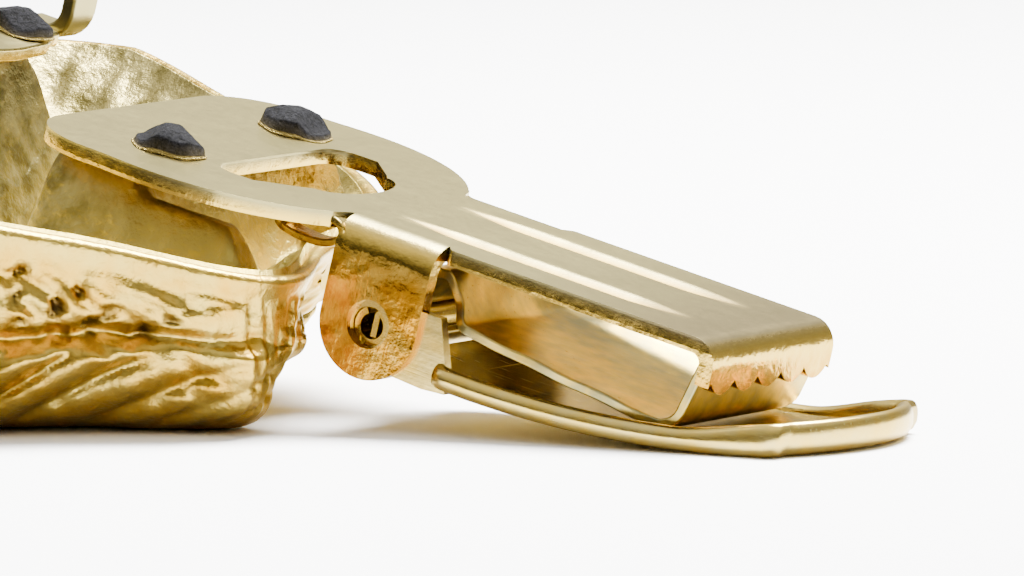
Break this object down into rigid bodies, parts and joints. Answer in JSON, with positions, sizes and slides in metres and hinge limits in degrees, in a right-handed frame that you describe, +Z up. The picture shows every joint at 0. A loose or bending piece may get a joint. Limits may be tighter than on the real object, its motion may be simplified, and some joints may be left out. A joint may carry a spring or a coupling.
{
  "type": "alligator hair clip",
  "caption": "Stamped lever clip with a toothed jaw and inner leaf, hinged on a rolled pin and riveted by peened posts to the hollow back of a cast ornament.",
  "frame": {"origin": "centre of the object's box on the ground that it rests on", "axes": "+Z up, +X from the ornament to the clip's jaw, Y across the clip along the hinge axis"},
  "size_m": [0.0614, 0.0392, 0.0163],
  "materials": {
    "cast_gold": "gold-plated rough casting, hammered and fluted, olive inside",
    "plated_plate": "pale gold plating over stamped sheet, semi-gloss",
    "cut_post": "bare cut metal, dull dark grey",
    "plated_pin": "gold plating, glossy",
    "plated_lever": "pale gold plating, brushed along its length",
    "plated_leaf": "pale gold plating, brushed along its length"
  },
  "bodies": {
    "ornament": {"casting": "cast_gold", "clip_plate": "plated_plate", "post_near": "cut_post", "post_far": "cut_post", "hinge_pin": "plated_pin", "rear_fitting": "plated_plate", "rear_post": "cut_post"},
    "lever": {"lever": "plated_lever"},
    "leaf": {"spring_leaf": "plated_leaf"}
  },
  "joints": [
    {"name": "lever_hinge", "type": "hinge", "parent": "ornament", "child": "lever", "pos_m": [0.00936, -0.00099, 0.00435], "axis": [0, 1, 0], "range_deg": [0, 90]},
    {"name": "leaf_hinge", "type": "hinge", "parent": "ornament", "child": "leaf", "pos_m": [0.00936, -0.00099, 0.00435], "axis": [0, 1, 0], "range_deg": [0, 18]}
  ],
  "couplings": [
    {"joint": "leaf_hinge", "follows": "lever_hinge", "ratio": 0.2}
  ]
}
